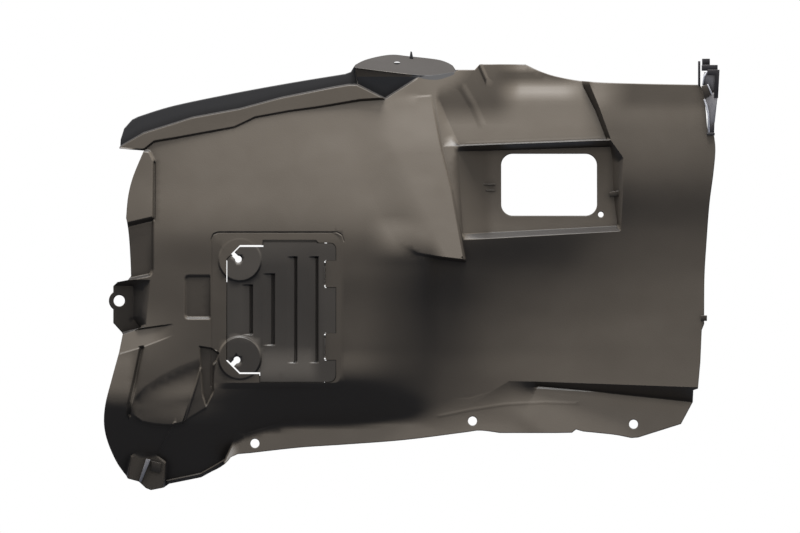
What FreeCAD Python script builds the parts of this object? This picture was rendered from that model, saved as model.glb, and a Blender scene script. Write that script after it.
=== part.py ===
import FreeCAD, Part
import math
import os

os.makedirs("parts", exist_ok=True)

# Wheel arch liner: one thin moulded shell, with a service flap that swings on
# film hinges. Millimetres. Outlines are drawn on a front sheet, x to the right
# and y downward, and depth runs away from the viewer of that sheet.

# Shell and rail
wall = 2.5                 # moulded wall
sheetX = 472.5             # sheet place of the middle rail hole, the part's origin
sheetY = 421.0
railDepth = 64.0           # rail face at its middle hole
railLean = 0.4             # the rail leans back towards its top edge
railHoleRadius = 4.5       # three fixing holes in the rail
railHoleSpanLeft = 217.5
railHoleDropLeft = 22.3
railHoleSpanRight = 161.0
railHoleDropRight = 3.2

# Left tab and top shelf
tabHoleX = 119.0
tabHoleY = 300.8
tabHoleRadius = 5.6
tabEndRadius = 10.4
tabDepth = 77.0
shelfHoleX = 397.0
shelfHoleY = 62.0
shelfHoleRadius = 3.2
shelfDepth = 121.0         # shelf at its front edge
shelfRise = 1.9            # depth gained per mm of height
shelfSkew = 0.119

# Upright lip along the top left, and the flange set back behind it
lipDepth = 93.0
lipLean = 0.21
stripSetback = 38.0

# Duct pocket and the rolled surface above it
windowLeft = 501.5
windowWidth = 96.0
windowTop = 153.5
windowHeight = 62.0
windowCorner = 11.5
ductHoleX = 601.3
ductHoleY = 214.4
ductHoleRadius = 2.8
pocketDepth = 97.0         # pocket floor at its lower edge
pocketLean = 0.3
pocketSlope = 0.7          # left part of the floor rises to the left
rollRadius = 656.0
rollAxisY = 373.0
rollAxisDepth = 714.5
rollTilt = 2.7

# Flat pad that frames the flap
padLeft = 210.5
padTop = 232.0
padWidth = 134.5
padHeight = 156.0
padCorner = 8.0
padDepth = 44.5            # pad plane at its middle
padLean = -0.02            # depth change per mm to the right
padRake = -0.125           # depth change per mm downward

# Flap
hingeX = 325.0             # film hinge line
flapLeft = 227.0
flapRight = 336.0
flapTop = 241.0
flapShoulder = 246.0
flapStep = 263.0
flapBottom = 382.0
flapHeel = 373.0
flapHeelStep = 260.0
flapChamfer = 13.0
flapGap = 1.2              # slit round the flap
hingeGap = 0.2             # running gap on the hinge line
strapTop = 260.5           # two hinge straps of the frame
strapHeight = 27.0
strapPitch = 72.5
reliefRadius = 1.3
discRadius = 21.3          # raised turn-lock discs
discRise = 3.0
discX = 240.0
discTop = 260.0
discPitch = 97.8
keyRadius = 3.4            # keyhole in each disc
keySlot = 4.6
keyReach = 9.0
grooveDepth = 3.0          # stiffening grooves in the flap
landInset = 3.2            # hinge lands stop short of the relief holes
studRadius = 1.8           # small stud low on the flap
studX = 284.0
studY = 376.0

# Raised and sunk fields of the barrel
edgePadRise = 4.0
recessDrop = 4.0
wedgeRise = 7.0
dishRadius = 60.0
dishDrop = 9.0
bossDepth = 56.0
facetDepth = 51.5          # lit facet above the lower left part, at its top

front = -90.0              # ahead of everything
back = 330.0               # behind everything

# Free-form barrel: depth in mm at these sheet heights, section by section
heights = [80, 130, 180, 230, 270, 310, 350, 380, 400, 430, 480]
sections = [
    (120, [112, 94, 81, 67, 59, 52.5, 41, 35.5, 34.5, 42, 81]),
    (200, [110, 92, 75, 58.5, 52.5, 47, 42, 38.5, 37.5, 42.5, 77]),
    (280, [108, 90, 72, 56, 50, 45.5, 41.5, 39, 46, 64, 100]),
    (350, [112, 92, 72, 54.5, 48.5, 45.5, 41, 37.5, 46, 68, 105]),
    (400, [118, 100, 80, 62, 59, 57, 54, 52.5, 56, 71, 105]),
    (440, [121, 102, 83, 66, 67, 70.5, 70, 68, 66.5, 64.5, 63]),
    (500, [110, 92, 80, 80, 84, 83.5, 79, 73.5, 70, 66, 62]),
    (560, [105, 86, 78, 82, 85, 82, 75, 68, 63, 56, 48]),
    (600, [98, 84, 76, 79, 78, 73.5, 66, 59.5, 54.5, 47, 38]),
    (640, [97, 83.5, 74.5, 74, 71, 65, 56.5, 49.5, 44.5, 38, 28]),
    (700, [86, 73, 65, 64, 60, 53, 45, 38, 33, 26, 16]),
]


def at(x, y, depth):
    return FreeCAD.Vector(x - sheetX, depth - railDepth, sheetY - y)


def through(places, values, x):
    # smooth curve through the values, straight beyond the ends
    count = len(places)
    if x <= places[0]:
        slope = (values[1] - values[0]) / (places[1] - places[0])
        return values[0] + slope * (x - places[0])
    if x >= places[-1]:
        slope = (values[-1] - values[-2]) / (places[-1] - places[-2])
        return values[-1] + slope * (x - places[-1])
    i = 0
    while x > places[i + 1]:
        i += 1
    slopes = []
    for k in (i, i + 1):
        low, high = max(k - 1, 0), min(k + 1, count - 1)
        slopes.append((values[high] - values[low]) / (places[high] - places[low]))
    span = places[i + 1] - places[i]
    t = (x - places[i]) / span
    a = (1 + 2 * t) * (1 - t) ** 2 * values[i] + t * (1 - t) ** 2 * span * slopes[0]
    b = t * t * (3 - 2 * t) * values[i + 1] + t * t * (t - 1) * span * slopes[1]
    return a + b


def barrelDepth(x, y):
    places = [section[0] for section in sections]
    values = [through(heights, section[1], y) for section in sections]
    return through(places, values, x)


def steepness(plane, x, y):
    # length of the surface per mm seen from the front
    dx = (plane(x + 1.0, y) - plane(x - 1.0, y)) / 2.0
    dy = (plane(x, y + 1.0) - plane(x, y - 1.0)) / 2.0
    return math.sqrt(1.0 + dx * dx + dy * dy)


def greville(first, step, spans):
    inner = [first + step * i for i in range(1, spans)]
    last = first + step * spans
    return [first, first + step / 3.0] + inner + [last - step / 3.0, last]


def barrelColumn(shift, thick):
    spansX, spansY, stepX, stepY = 27, 21, 24.0, 22.0
    xs = greville(86.0, stepX, spansX)
    ys = greville(40.0, stepY, spansY)
    poles = []
    for x in xs:
        row = []
        for y in ys:
            depth = barrelDepth(x, y) + shift
            depth += thick * min(2.2, steepness(barrelDepth, x, y))
            row.append(at(x, y, depth))
        poles.append(row)
    knotsX = [float(i) for i in range(spansX + 1)]
    knotsY = [float(i) for i in range(spansY + 1)]
    multX = [4] + [1] * (spansX - 1) + [4]
    multY = [4] + [1] * (spansY - 1) + [4]
    surface = Part.BSplineSurface()
    surface.buildFromPolesMultsKnots(poles, multX, multY, knotsX, knotsY,
                                     False, False, 3, 3)
    solid = surface.toShape().extrude(FreeCAD.Vector(0, back, 0))
    if solid.Volume < 0:
        solid.reverse()
    return solid


def roundedWire(points, radius, depth):
    count = len(points)
    if not isinstance(radius, (list, tuple)):
        radius = [radius] * count
    corners = []
    for i in range(count):
        here = at(points[i][0], points[i][1], depth)
        before = at(points[i - 1][0], points[i - 1][1], depth)
        after = at(points[(i + 1) % count][0], points[(i + 1) % count][1], depth)
        a = (before - here)
        b = (after - here)
        r = radius[i]
        if r <= 0:
            corners.append((here, here, here))
            continue
        a.normalize()
        b.normalize()
        half = a.getAngle(b) / 2.0
        run = r / math.tan(half)
        middle = (a + b)
        middle.normalize()
        centre = here + middle * (r / math.sin(half))
        corners.append((here + a * run, centre - middle * r, here + b * run))
    edges = []
    for i in range(count):
        first, mid, last = corners[i]
        if (first - last).Length > 1e-6:
            edges.append(Part.Arc(first, mid, last).toShape())
        following = corners[(i + 1) % count][0]
        if (following - last).Length > 1e-6:
            edges.append(Part.LineSegment(last, following).toShape())
    return Part.Wire(edges)


def polygon(points, depth):
    closed = list(points) + [points[0]]
    return Part.makePolygon([at(x, y, depth) for x, y in closed])


def block(points, radius=0.0, grow=0.0, near=front, far=back):
    # straight column through an outline, from near to far
    wire = roundedWire(points, radius, near)
    if grow:
        wire = wire.makeOffset2D(grow, 2)
    return Part.Face(wire).extrude(FreeCAD.Vector(0, far - near, 0))


def wider(points, amount):
    # straight outline moved outward by an amount
    moved = polygon(points, 0.0).makeOffset2D(amount, 2)
    corners = [vertex.Point for vertex in moved.OrderedVertexes]
    return [(corner.x + sheetX, sheetY - corner.z) for corner in corners]


def slanted(nearPoints, farPoints, nearDepth, farDepth, grow):
    # drafted column: one outline near, another far, carried on both ways
    if grow:
        nearPoints, farPoints = wider(nearPoints, grow), wider(farPoints, grow)
    rings = []
    for depth in (nearDepth - 45.0, farDepth + 40.0):
        t = (depth - nearDepth) / (farDepth - nearDepth)
        ring = [(p[0] + (q[0] - p[0]) * t, p[1] + (q[1] - p[1]) * t)
                for p, q in zip(nearPoints, farPoints)]
        rings.append(polygon(ring, depth))
    return Part.makeLoft(rings, True, True)


def space(plane, behind):
    # everything behind a plane, or everything ahead of it
    corners = [(-60, -80), (900, -80), (900, 640), (-60, 640), (-60, -80)]
    wire = Part.makePolygon([at(x, y, plane(x, y)) for x, y in corners])
    reach = 500.0 if behind else -500.0
    return Part.Face(wire).extrude(FreeCAD.Vector(0, reach, 0))


def rect(left, top, width, height):
    return [(left, top), (left + width, top),
            (left + width, top + height), (left, top + height)]


def railPlane(x, y):
    return railDepth + railLean * (sheetY - y)


def bulgePlane(x, y):
    return 46.0 + 0.42 * (258.0 - y) - 0.06 * (465.0 - x)


def lipPlane(x, y):
    return lipDepth + 0.02 * (x - 255.0) + lipLean * (117.0 - y)


def stripPlane(x, y):
    return lipDepth + stripSetback + 0.02 * (x - 255.0) + 0.03 * (105.0 - y)


def shelfPlane(x, y):
    return shelfDepth + shelfRise * (75.0 - shelfSkew * (421.0 - x) - y)


def underShelfPlane(x, y):
    return shelfDepth + 0.85 * (y - 71.0)


def tabPlane(x, y):
    return tabDepth


def facetPlane(x, y):
    return facetDepth - 0.55 * (y - 331.0 + 0.13 * (x - 124.0))


def bossPlane(x, y):
    return bossDepth + 0.3 * (470.0 - y)


def padPlane(x, y):
    return (padDepth + padLean * (x - padLeft - padWidth / 2.0)
            + padRake * (y - padTop - padHeight / 2.0))


def pocketPlane(x, y):
    return pocketDepth + pocketLean * (230.0 - y)


def pocketSlopePlane(x, y):
    return pocketPlane(x, y) - pocketSlope * (490.0 - x)


def inward(plane, thick, extra=0.0):
    # the same plane moved back by a wall measured square to it
    shift = thick * steepness(plane, 400.0, 250.0) + extra
    return lambda x, y: plane(x, y) + shift


def rollSpace(thick, behind):
    # the roll's section, pushed along its axis
    radius = rollRadius - thick
    start, length, top, bottom = 400.0, 260.0, 30.0, 250.0
    middle = (top + bottom) / 2.0
    depths = [rollAxisDepth - math.sqrt(radius ** 2 - (y - rollAxisY) ** 2)
              for y in (top, middle, bottom)]
    far = back if behind else front
    arc = Part.Arc(at(start, top, depths[0]), at(start, middle, depths[1]),
                   at(start, bottom, depths[2])).toShape()
    rest = Part.makePolygon([at(start, bottom, depths[2]), at(start, bottom, far),
                             at(start, top, far), at(start, top, depths[0])])
    section = Part.Face(Part.Wire([arc] + rest.Edges))
    solid = section.extrude(FreeCAD.Vector(length, 0, 0))
    solid.rotate(at(534.0, 138.0, rollAxisDepth - rollRadius),
                 FreeCAD.Vector(0, 1, 0), -rollTilt)
    return solid


bulgeOutline = [(326, 101), (385, 98), (431, 95), (442, 150), (452, 190), (465, 258),
                (432, 253), (400, 240), (383, 220), (370, 195), (344, 150)]
rimLine = [(119.6, 146), (143, 132.5), (174, 122.7), (192, 117), (239, 108.4),
           (280, 97.3), (333.6, 86.5), (348.6, 84), (357, 84)]
lipOutline = [(100, 148)] + rimLine + [(385, 98), (360, 99.8), (321, 106.4), (288, 111),
                                       (255, 117), (234, 127), (174, 138), (153.6, 141.4),
                                       (143.7, 149.5), (110, 149.5)]
stripOutline = [(90, 160)] + rimLine + [(354, 67), (351, 40), (60, 40)]
shelfOutline = [(352, 66.5), (388, 71.2), (421, 75), (438, 73), (457, 70),
                (457, 30), (340, 30), (346, 66)]
underShelfOutline = [(354, 67), (388, 71.2), (421, 75), (385, 98), (357, 84)]


def sunkRoll(grow, thick):
    near = [(442, 20), (434, 97), (447, 133), (459, 144), (612, 137), (606, 111),
            (600, 84), (596, 20)]
    far = [(446, 20), (438, 97), (452, 129), (459, 144), (609, 137), (599, 111),
           (584, 86), (580, 20)]
    return slanted(near, far, 84.0, 128.0, grow).common(rollSpace(thick, False))


def sunkPocket(grow, thick):
    near = [(440, 142), (610, 134), (623.5, 158), (623, 193), (621, 231), (463, 240),
            (452, 190)]
    far = [(458, 145), (610, 139), (612, 158), (613, 193), (618, 226), (463, 234),
           (460, 190)]
    tool = slanted(near, far, 74.0, 108.0, grow)
    tool = tool.common(space(inward(pocketPlane, thick), False))
    return tool.common(space(inward(pocketSlopePlane, thick), False))


def sunkTab(grow, thick):
    near = [(80, 279), (150.5, 280), (146, 326), (124, 334), (80, 334)]
    far = [(80, 284), (133, 286), (133, 318), (114, 322), (80, 322)]
    return slanted(near, far, 52.0, tabDepth, grow).common(space(inward(tabPlane, thick), False))


def sunkRail(grow, thick):
    # clears the rail under the overhanging ledge at the right
    near = [(456, 399), (509, 366), (697, 385), (760, 385), (760, 470), (456, 470)]
    far = [(460, 415), (509, 382), (692, 402), (760, 402), (760, 470), (460, 470)]
    return slanted(near, far, 37.0, 70.0, grow).common(space(inward(railPlane, thick), False))


def raisedFields(thick):
    # solids that bring parts of the surface towards the viewer
    t = thick
    pad = rect(padLeft + t, padTop + t, padWidth - 2 * t, padHeight - 2 * t)
    adds = [
        block(bulgeOutline, 0.0, -t).common(space(inward(bulgePlane, t), True)),
        block(lipOutline).common(space(inward(lipPlane, t), True)),
        block(pad, padCorner - t).common(space(inward(padPlane, t), True)),
    ]
    for i in range(2):
        centre = at(discX, discTop + discPitch * i, front)
        disc = Part.makeCylinder(discRadius - t, back - front, centre, FreeCAD.Vector(0, 1, 0))
        adds.append(disc.common(space(inward(padPlane, t, -discRise), True)))
    edgePad = [(80, 145), (149, 151), (154 - t, 160), (154 - t, 221 - t), (80, 218 - t)]
    adds.append(barrelColumn(-edgePadRise, t).common(block(edgePad)))
    wedge = [(200, 348), (217, 351), (213, 380), (206, 408), (185, 421), (202, 370)]
    adds.append(barrelColumn(-wedgeRise, t).common(block(wedge, 0.0, -t)))
    boss = [(131, 456), (146, 448), (166, 462), (163, 500), (150, 505), (124, 490)]
    adds.append(block(boss, 0.0, -t).common(space(inward(bossPlane, t), True)))
    return adds


def sunkFields(grow, thick):
    # solids that push parts of the surface away from the viewer
    t = thick
    cuts = [sunkRoll(grow, t), sunkPocket(grow, t), sunkTab(grow, t), sunkRail(grow, t)]
    fields = [(block(stripOutline, 0.0, grow), stripPlane),
              (block(shelfOutline), shelfPlane),
              (block(underShelfOutline, 0.0, grow), underShelfPlane),
              (block([(80, 330), (124, 331), (169, 325), (169, 337), (143, 347), (119, 354), (80, 360)],
                     0.0, grow), facetPlane)]
    for column, plane in fields:
        cuts.append(column.common(space(inward(plane, t), False)))
    grooves = [(240.5, 284, 12.1, 51), (262.3, 274, 12.7, 72),
               (286.4, 257, 10.9, 106), (305.0, 257, 14.0, 106)]
    for groove in grooves:
        cuts.append(block(rect(*groove), 2.0, grow).common(
            space(inward(padPlane, t, grooveDepth), False)))
    floor = barrelColumn(recessDrop, t)
    cuts.append(block(rect(185.5, 275.5, 24.0, 42.5), 3.0, grow).cut(floor))
    cuts.append(block([(80, 223), (152, 226), (153, 276), (80, 278)], 0.0, grow).cut(floor))
    dish = at(163.0, 393.0, barrelDepth(163.0, 393.0) + dishDrop - dishRadius)
    cuts.append(Part.makeSphere(dishRadius + t, dish))
    return cuts


def backing(thick):
    # what stays behind the flanges that are set back
    t = thick
    rail = [(236, 436), (326, 410), (423, 400), (466, 416), (509, 384), (760, 402),
            (760, 520), (222, 520), (224, 462)]
    tab = [(80, 284), (133, 286), (133, 318), (114, 330), (80, 330)]
    fields = [(rail, railPlane), (stripOutline, stripPlane), (shelfOutline, shelfPlane),
              (tab, tabPlane)]
    return [block(outline).common(space(inward(plane, t), True)) for outline, plane in fields]


def mass(thick):
    # everything behind the visible face, or behind the inner face
    body = barrelColumn(0.0, thick)
    body = body.fuse(raisedFields(thick))
    body = body.cut(sunkFields(thick, thick))
    return body.fuse(backing(thick))


def addRun(edges, points, smooth):
    vectors = [at(x, y, front) for x, y in points]
    if smooth:
        curve = Part.BSplineCurve()
        curve.interpolate(vectors)
        edges.append(curve.toShape())
    else:
        for first, last in zip(vectors, vectors[1:]):
            edges.append(Part.LineSegment(first, last).toShape())


def silhouette():
    edges = []
    addRun(edges, [(119, 148.5), (119.5, 139), (123, 128), (131, 119), (137, 116)], False)
    addRun(edges, [(137, 116), (172, 105.2), (230, 93), (290, 82), (345, 73)], True)
    addRun(edges, [(345, 73), (350.5, 71), (355, 64)], False)
    addRun(edges, [(355, 64), (364, 59.3), (378, 55.4), (393, 53.4), (409, 55),
                (428, 57), (441, 59), (449, 62)], True)
    addRun(edges, [(449, 62), (453, 64.5), (456, 69), (475, 69), (480, 63.5),
                (526, 63.5)], False)
    addRun(edges, [(526, 63.5), (541, 70.5), (560, 76.3), (592, 81.3), (640, 83.2),
                (700, 84.5)], True)
    addRun(edges, [(700, 84.5), (704, 90)], False)
    addRun(edges, [(704, 90), (706, 110), (707.5, 128), (709, 134)], True)
    addRun(edges, [(709, 134), (714.5, 137)], False)
    addRun(edges, [(714.5, 137), (715.5, 150), (713.5, 173), (709.5, 204),
                (706.5, 243), (704.5, 275), (704, 309), (704, 324)], True)
    addRun(edges, [(704, 324), (701.5, 330), (700, 362), (697.5, 388.5), (693, 390),
                (693, 402), (681, 424), (638, 437.5), (631, 438)], False)
    addRun(edges, [(631, 438), (616, 435), (600, 433.2), (583, 431.5)], True)
    addRun(edges, [(583, 431.5), (576, 429.5), (572, 432.7), (556, 433), (500, 433)], False)
    addRun(edges, [(500, 433), (480, 430.6), (464, 432.5), (404, 440), (345, 444.5),
                (300, 447.5), (250, 453)], True)
    addRun(edges, [(250, 453), (238, 454), (231, 457)], False)
    addRun(edges, [(231, 457), (226, 463), (219, 468), (212, 471.5)], True)
    addRun(edges, [(212, 471.5), (201, 477.5), (169, 484), (164, 487.5), (151, 490),
                (146, 488), (139, 481.5), (128, 478.5)], False)
    addRun(edges, [(128, 478.5), (117, 463), (108, 442), (104.5, 424), (106, 404),
                (112, 380), (119.5, 352)], True)
    addRun(edges, [(119.5, 352), (123, 334), (113, 323), (113, 309.4)], False)
    edges.append(Part.Arc(at(113, tabHoleY + 8.6, front),
                          at(tabHoleX - tabEndRadius, tabHoleY, front),
                          at(113, tabHoleY - 8.6, front)).toShape())
    addRun(edges, [(113, 292.2), (113, 286), (117.5, 282), (128, 280), (131, 276)], False)
    addRun(edges, [(131, 276), (130.5, 262), (129, 238), (127, 222)], True)
    addRun(edges, [(127, 222), (126, 218)], False)
    addRun(edges, [(126, 218), (128, 196), (133, 176), (143.5, 150.5)], True)
    addRun(edges, [(143.5, 150.5), (119, 148.5)], False)
    return Part.Face(Part.Wire(edges)).extrude(FreeCAD.Vector(0, back - front, 0))


def flapOutline(grow):
    low = strapTop + strapPitch
    points = [(flapStep, flapTop), (flapRight, flapTop), (flapRight, strapTop),
              (hingeX, strapTop), (hingeX, strapTop + strapHeight),
              (flapRight, strapTop + strapHeight), (flapRight, low), (hingeX, low),
              (hingeX, low + strapHeight), (flapRight, low + strapHeight),
              (flapRight, flapBottom), (flapHeelStep, flapBottom),
              (flapHeelStep, flapHeel), (flapLeft + flapChamfer, flapHeel),
              (flapLeft, flapHeel - flapChamfer), (flapLeft, flapShoulder + flapChamfer),
              (flapLeft + flapChamfer, flapShoulder), (flapStep, flapShoulder)]
    radius = [0, 6, 0, 0, 0, 0, 0, 0, 0, 0, 7, 0, 0, 0, 0, 0, 0, 0]
    moved = roundedWire(points, radius, front).makeOffset2D(grow, 2)
    return Part.Face(moved).extrude(FreeCAD.Vector(0, back - front, 0))


def bore(x, y, radius, plane):
    # round hole square to the plane that carries it
    dx = plane(x + 1.0, y) - plane(x, y)
    dy = plane(x, y + 1.0) - plane(x, y)
    axis = FreeCAD.Vector(dx, -1.0, -dy)
    axis.normalize()
    reach = 12.0
    return Part.makeCylinder(radius, 2 * reach, at(x, y, plane(x, y)) - axis * reach, axis)


def bracket():
    # open hook that stands behind the upper right corner
    plate = block([(706.5, 97), (717.6, 97), (714.6, 134.5), (714, 139.5), (708.5, 139.5),
                   (709.3, 128), (707.8, 112)], near=68.0, far=73.5)
    pieces = [
        block(rect(714.6, 67, 5.1, 31), near=68.0, far=90.0),
        block(rect(698.7, 64.5, 19.0, 5.5), near=68.0, far=96.0),
        block(rect(702, 58.5, 8.0, 7.0), near=74.0, far=88.0),
        block(rect(698.7, 61, 1.8, 27), near=76.0, far=98.0),
        block([(702, 69), (709, 76), (714, 84), (715.2, 90), (711, 99), (707, 99),
               (708, 90), (705, 82), (700, 74), (700, 69)], near=70.0, far=73.0),
    ]
    return plate.fuse(pieces)


def ridges():
    # crease beside the roll, and the small rib on its top edge
    lines = [[(461.5, 87.5), (464.5, 86.5), (478, 110), (483, 123), (480, 124), (474, 112)],
             [(476.4, 60), (480.4, 60), (488, 78), (485, 79)]]
    raised = rollSpace(-1.6, True)
    below = rollSpace(0.8, True)
    return [block(line).common(raised).cut(below) for line in lines]


def smallForms():
    pieces = ridges()
    pieces.append(bracket())
    pin = [(409.3, 58.5), (410.6, 50), (412, 50.6), (413.6, 58.5)]
    pieces.append(block(pin, near=151.5, far=155.5))
    pieces.append(block(rect(700.5, 315.3, 6.2, 5.6), near=49.0, far=54.5))
    pieces.append(block(rect(480, 183.7, 15.5, 1.5), near=101.0, far=112.0))
    pieces.append(block(rect(485.5, 189.7, 10.0, 1.5), near=103.0, far=110.5))
    hook = [(610, 192), (621, 190), (624, 194), (622, 199), (618, 196), (610, 197)]
    pieces.append(block(hook, near=90.0, far=109.0))
    return pieces


def openings():
    cuts = [
        bore(sheetX, sheetY, railHoleRadius, railPlane),
        bore(sheetX - railHoleSpanLeft, sheetY + railHoleDropLeft, railHoleRadius, railPlane),
        bore(sheetX + railHoleSpanRight, sheetY + railHoleDropRight, railHoleRadius, railPlane),
        bore(tabHoleX, tabHoleY, tabHoleRadius, tabPlane),
        bore(ductHoleX, ductHoleY, ductHoleRadius, pocketPlane),
        bore(shelfHoleX, shelfHoleY, shelfHoleRadius, shelfPlane),
        block(rect(windowLeft, windowTop, windowWidth, windowHeight), windowCorner),
    ]
    for i in range(2):
        for end in (1.5, strapHeight - 1.5):
            cuts.append(bore(hingeX, strapTop + strapPitch * i + end, reliefRadius, padPlane))
    return cuts


def keyhole(x, y, turn):
    # round end with a slot that runs out to the flap's cut corner
    half = keySlot / 2.0 * 0.7
    slot = [(x + half, y - half * turn), (x - keyReach + half, y - (keyReach + half) * turn),
            (x - keyReach - half, y - (keyReach - half) * turn), (x - half, y + half * turn)]
    return [bore(x, y, keyRadius, padPlane), block(slot)]


def hingeLands(start):
    # lands that meet on the hinge line, between the relief holes
    lands = []
    for i in range(2):
        land = block(rect(start, strapTop + strapPitch * i + landInset,
                          flapGap, strapHeight - 2 * landInset))
        land = land.common(space(padPlane, True))
        lands.append(land.cut(space(inward(padPlane, wall), True)))
    return lands


shell = mass(0.0).cut(mass(wall)).common(silhouette())
shell = shell.fuse(smallForms()).cut(openings())

flap = shell.common(flapOutline(-flapGap / 2.0))
flap = flap.fuse(hingeLands(hingeX - hingeGap / 2.0 - flapGap))
flap = flap.cut(keyhole(238.4, discTop - 0.8, 1.0) + keyhole(237.2, discTop + discPitch + 2.0, -1.0))
studFoot = at(studX, studY, padPlane(studX, studY) - 1.2)
flap = flap.fuse(Part.makeCylinder(studRadius, wall, studFoot, FreeCAD.Vector(0, 1, 0)))

shell = shell.cut(flapOutline(flapGap / 2.0))
shell = shell.fuse(hingeLands(hingeX + hingeGap / 2.0))

for name, shape in {"liner_shell": shell, "service_flap": flap}.items():
    solids = sorted(shape.removeSplitter().Solids, key=lambda solid: -solid.Volume)
    print(name, solids[0].isValid(), [round(solid.Volume / 1000.0, 2) for solid in solids])
    solids[0].exportStep("parts/" + name + ".step")
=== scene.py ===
import math
import bpy
import bmesh
import numpy as np
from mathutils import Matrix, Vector, geometry


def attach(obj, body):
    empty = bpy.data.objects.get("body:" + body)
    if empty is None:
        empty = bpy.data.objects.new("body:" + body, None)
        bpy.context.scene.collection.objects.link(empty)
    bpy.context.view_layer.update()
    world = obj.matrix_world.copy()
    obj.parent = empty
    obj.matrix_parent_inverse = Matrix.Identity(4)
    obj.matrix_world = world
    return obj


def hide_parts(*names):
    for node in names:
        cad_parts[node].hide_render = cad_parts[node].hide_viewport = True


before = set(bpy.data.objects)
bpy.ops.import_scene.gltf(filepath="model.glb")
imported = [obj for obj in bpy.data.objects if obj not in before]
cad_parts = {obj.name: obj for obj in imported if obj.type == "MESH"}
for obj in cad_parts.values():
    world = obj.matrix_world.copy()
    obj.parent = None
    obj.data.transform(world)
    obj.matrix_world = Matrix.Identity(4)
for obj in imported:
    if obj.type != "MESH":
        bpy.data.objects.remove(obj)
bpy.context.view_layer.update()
print("frame loaded")

# Outlines are drawn in millimetres on a front sheet, x right and y down.
# Depth runs away from the viewer. The middle rail hole is the frame's origin.
sheetX, sheetY, railDepth = 472.5, 421.0, 64.0


def toFrame(x, y, depth):
    return np.stack([(x - sheetX) / 1000, (depth - railDepth) / 1000, (sheetY - y) / 1000], axis=-1)


# Lines on the sheet

def resample(points, closed, step):
    out, count = [], len(points)
    for i in range(count if closed else count - 1):
        (ax, ay), (bx, by) = points[i], points[(i + 1) % count]
        parts = max(1, round(math.hypot(bx - ax, by - ay) / step))
        out += [(ax + (bx - ax) * j / parts, ay + (by - ay) * j / parts) for j in range(parts)]
    return out if closed else out + [tuple(points[-1])]


def smoothRun(points, step=2.5):
    # a curve through the points
    out, last = [], len(points) - 1
    for i in range(last):
        p0, p1 = points[max(i - 1, 0)], points[i]
        p2, p3 = points[i + 1], points[min(i + 2, last)]
        parts = max(1, round(math.dist(p1, p2) / step))
        for j in range(parts):
            t = j / parts
            out.append(tuple(0.5 * (2 * p1[k] + (p2[k] - p0[k]) * t
                                    + (2 * p0[k] - 5 * p1[k] + 4 * p2[k] - p3[k]) * t * t
                                    + (3 * p1[k] - p0[k] - 3 * p2[k] + p3[k]) * t ** 3)
                             for k in (0, 1)))
    return out + [tuple(points[-1])]


def arc(x, y, radius, first=0.0, last=360.0, step=1.2):
    parts = max(8, round(abs(last - first) / 360 * 2 * math.pi * radius / step))
    full = abs(last - first) >= 360
    count = parts if full else parts + 1
    angles = [math.radians(first + (last - first) * i / parts) for i in range(count)]
    return [(x + radius * math.cos(a), y + radius * math.sin(a)) for a in angles]


def rect(left, top, width, height):
    return [(left, top), (left + width, top), (left + width, top + height), (left, top + height)]


def roundCorners(points, radii, step=1.5):
    # straight outline with an arc at each corner that has a radius
    out, count = [], len(points)
    for i in range(count):
        here, radius = Vector(points[i]), radii[i] if isinstance(radii, list) else radii
        a = (Vector(points[i - 1]) - here).normalized()
        b = (Vector(points[(i + 1) % count]) - here).normalized()
        if radius <= 0:
            out.append(tuple(here))
            continue
        half = a.angle(b) / 2
        centre = here + (a + b).normalized() * (radius / math.sin(half))
        start, end = here + a * (radius / math.tan(half)), here + b * (radius / math.tan(half))
        u, v = start - centre, end - centre
        turn = math.atan2(u.x * v.y - u.y * v.x, u.dot(v))
        parts = max(2, round(abs(turn) * radius / step))
        base = math.atan2(u.y, u.x)
        out += [(centre.x + radius * math.cos(base + turn * j / parts),
                 centre.y + radius * math.sin(base + turn * j / parts)) for j in range(parts + 1)]
    return out


def moveEdges(points, amounts):
    # each straight edge of a clockwise outline moved outward by its own amount
    count, lines = len(points), []
    for i in range(count):
        a, b = Vector(points[i]), Vector(points[(i + 1) % count])
        along = (b - a).normalized()
        out = Vector((along.y, -along.x)) * amounts[i]
        lines.append((a + out, b + out))
    moved = []
    for i in range(count):
        (a, b), (c, d) = lines[i - 1], lines[i]
        r, s = b - a, d - c
        cross = r.x * s.y - r.y * s.x
        t = ((c - a).x * s.y - (c - a).y * s.x) / cross
        moved.append(tuple(a + r * t))
    return moved


def signedDistance(outline, x, y):
    # negative inside
    best, inside = np.full(x.shape, 1e18), np.zeros(x.shape, bool)
    for (ax, ay), (bx, by) in zip(outline, outline[1:] + outline[:1]):
        dx, dy = bx - ax, by - ay
        t = np.clip(((x - ax) * dx + (y - ay) * dy) / (dx * dx + dy * dy + 1e-12), 0, 1)
        best = np.minimum(best, (x - ax - t * dx) ** 2 + (y - ay - t * dy) ** 2)
        if dy:
            inside ^= ((ay > y) != (by > y)) & (x < dx * (y - ay) / dy + ax)
    return np.where(inside, -1.0, 1.0) * np.sqrt(best)


def lineDistance(points, x, y):
    best = np.full(x.shape, 1e18)
    for (ax, ay), (bx, by) in zip(points, points[1:]):
        dx, dy = bx - ax, by - ay
        t = np.clip(((x - ax) * dx + (y - ay) * dy) / (dx * dx + dy * dy), 0, 1)
        best = np.minimum(best, (x - ax - t * dx) ** 2 + (y - ay - t * dy) ** 2)
    return np.sqrt(best)


def ease(t):
    t = np.clip(t, 0, 1)
    return t * t * (3 - 2 * t)


def softMin(a, b, size):
    h = np.clip(0.5 + 0.5 * (b - a) / size, 0, 1)
    return b * (1 - h) + a * h - size * h * (1 - h)


def softMax(a, b, size):
    return -softMin(-a, -b, size)


def rising(t, soft):
    # t above zero and nothing below it, easing in
    return softMax(t, 0 * t, soft)


def bringForward(depth, target, soft, mask):
    # to the front where the target lies before the sheet
    return depth + (softMin(depth, target, soft) - depth) * mask


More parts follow.
